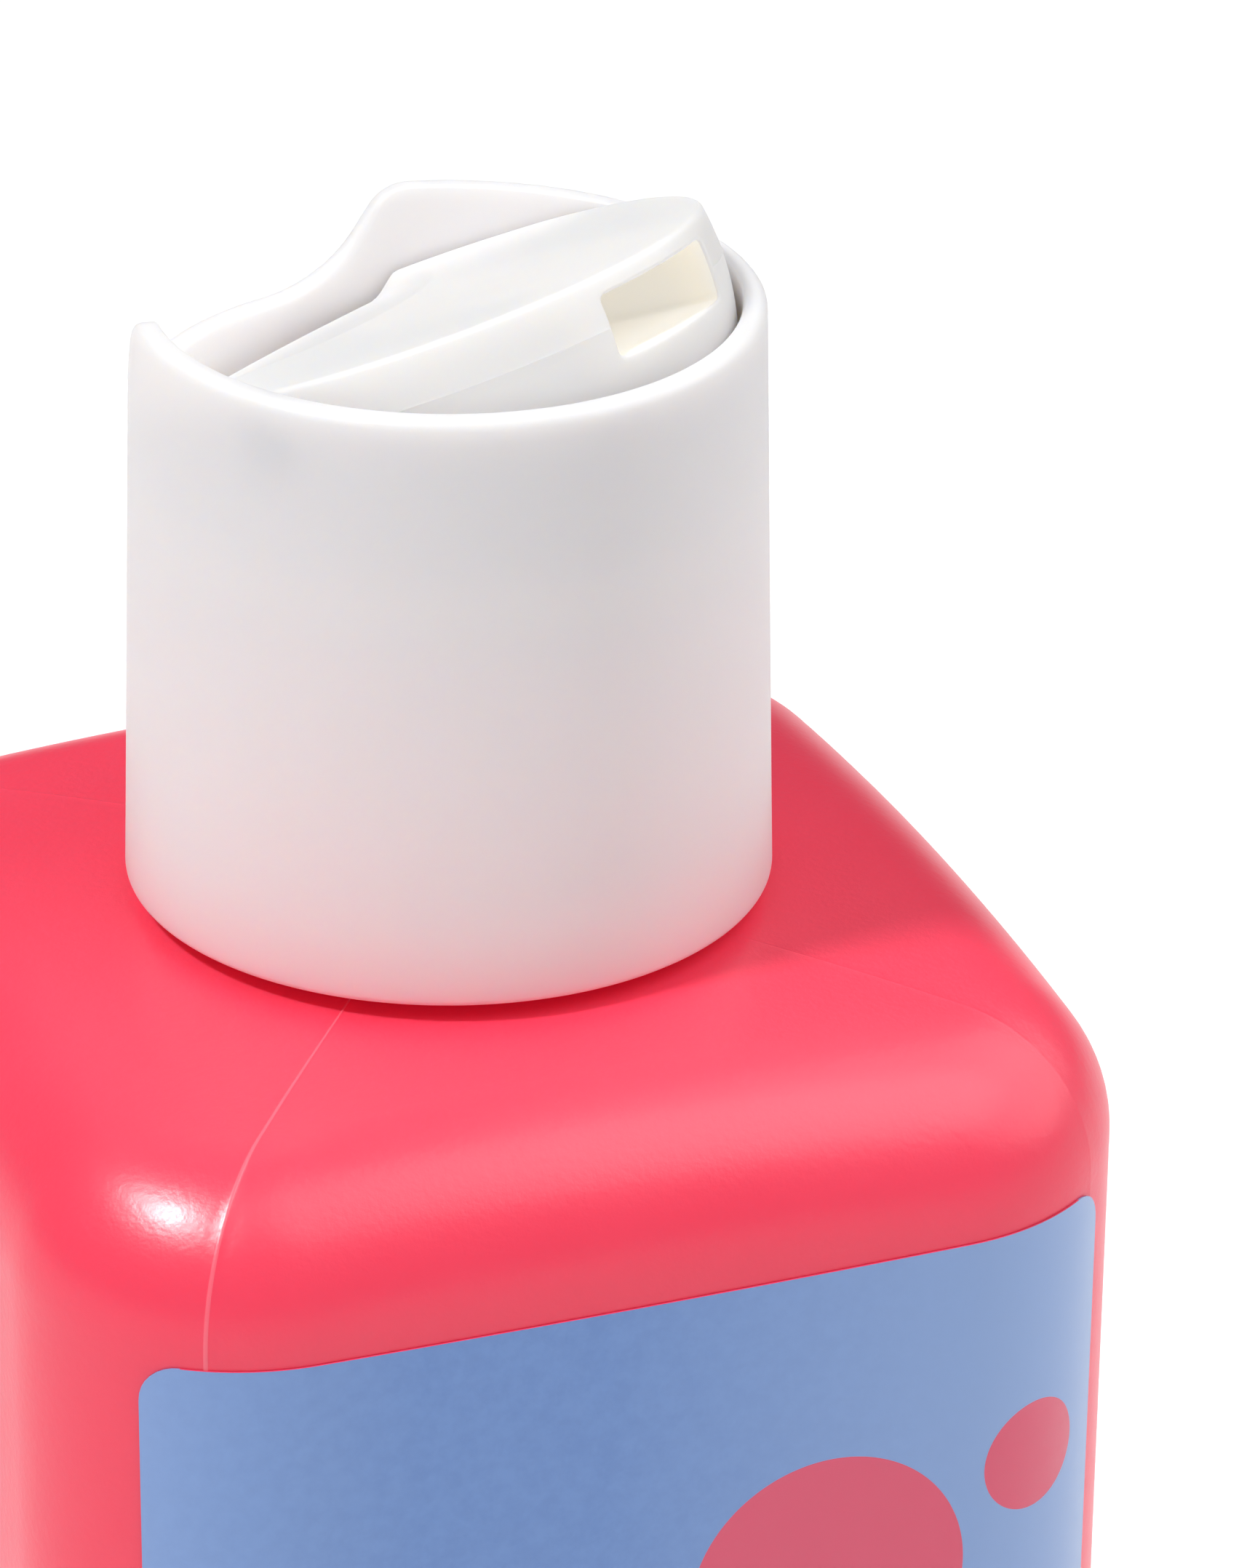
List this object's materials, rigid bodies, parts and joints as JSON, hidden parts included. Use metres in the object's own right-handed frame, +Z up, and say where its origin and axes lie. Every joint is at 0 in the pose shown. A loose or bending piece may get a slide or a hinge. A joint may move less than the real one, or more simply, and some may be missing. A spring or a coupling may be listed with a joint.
{
  "type": "shower gel bottle",
  "caption": "Square blow-moulded bottle with rounded corners, a wrap-round film label and a press-disc screw cap shown tipped open.",
  "frame": {"origin": "middle of the base, on the surface that the bottle stands on", "axes": "+Z up along the neck's axis, the label faces -Y, +X to the right as the label is seen from the front"},
  "size_m": [0.049, 0.0491, 0.1591],
  "materials": {
    "bottle": "satin gloss, opaque coral polyethylene",
    "label": "printed film with a satin varnish",
    "seal": "fine closed-cell foam",
    "cap": "satin white polypropylene",
    "disc": "satin white polypropylene"
  },
  "bodies": {
    "bottle": {"bottle": "bottle", "label": "label"},
    "seal": {"neck_seal": "seal"},
    "cap": {"cap_shell": "cap"},
    "disc": {"disc": "disc"}
  },
  "joints": [
    {"name": "cap_lift", "type": "slide", "parent": "bottle", "child": "seal", "axis": [0, 0, 1], "range_m": [0, 0.00477]},
    {"name": "cap_turn", "type": "hinge", "parent": "seal", "child": "cap", "pos_m": [0, 0, 0.14], "axis": [0, 0, 1], "range_deg": [0, 540]},
    {"name": "disc_rock", "type": "hinge", "parent": "cap", "child": "disc", "pos_m": [0, 0, 0.1523], "axis": [0.8039, 0.5948, 0], "range_deg": [0, 24]}
  ],
  "couplings": [
    {"joint": "cap_lift", "follows": "cap_turn", "m_per_rad": 0.00050532}
  ]
}
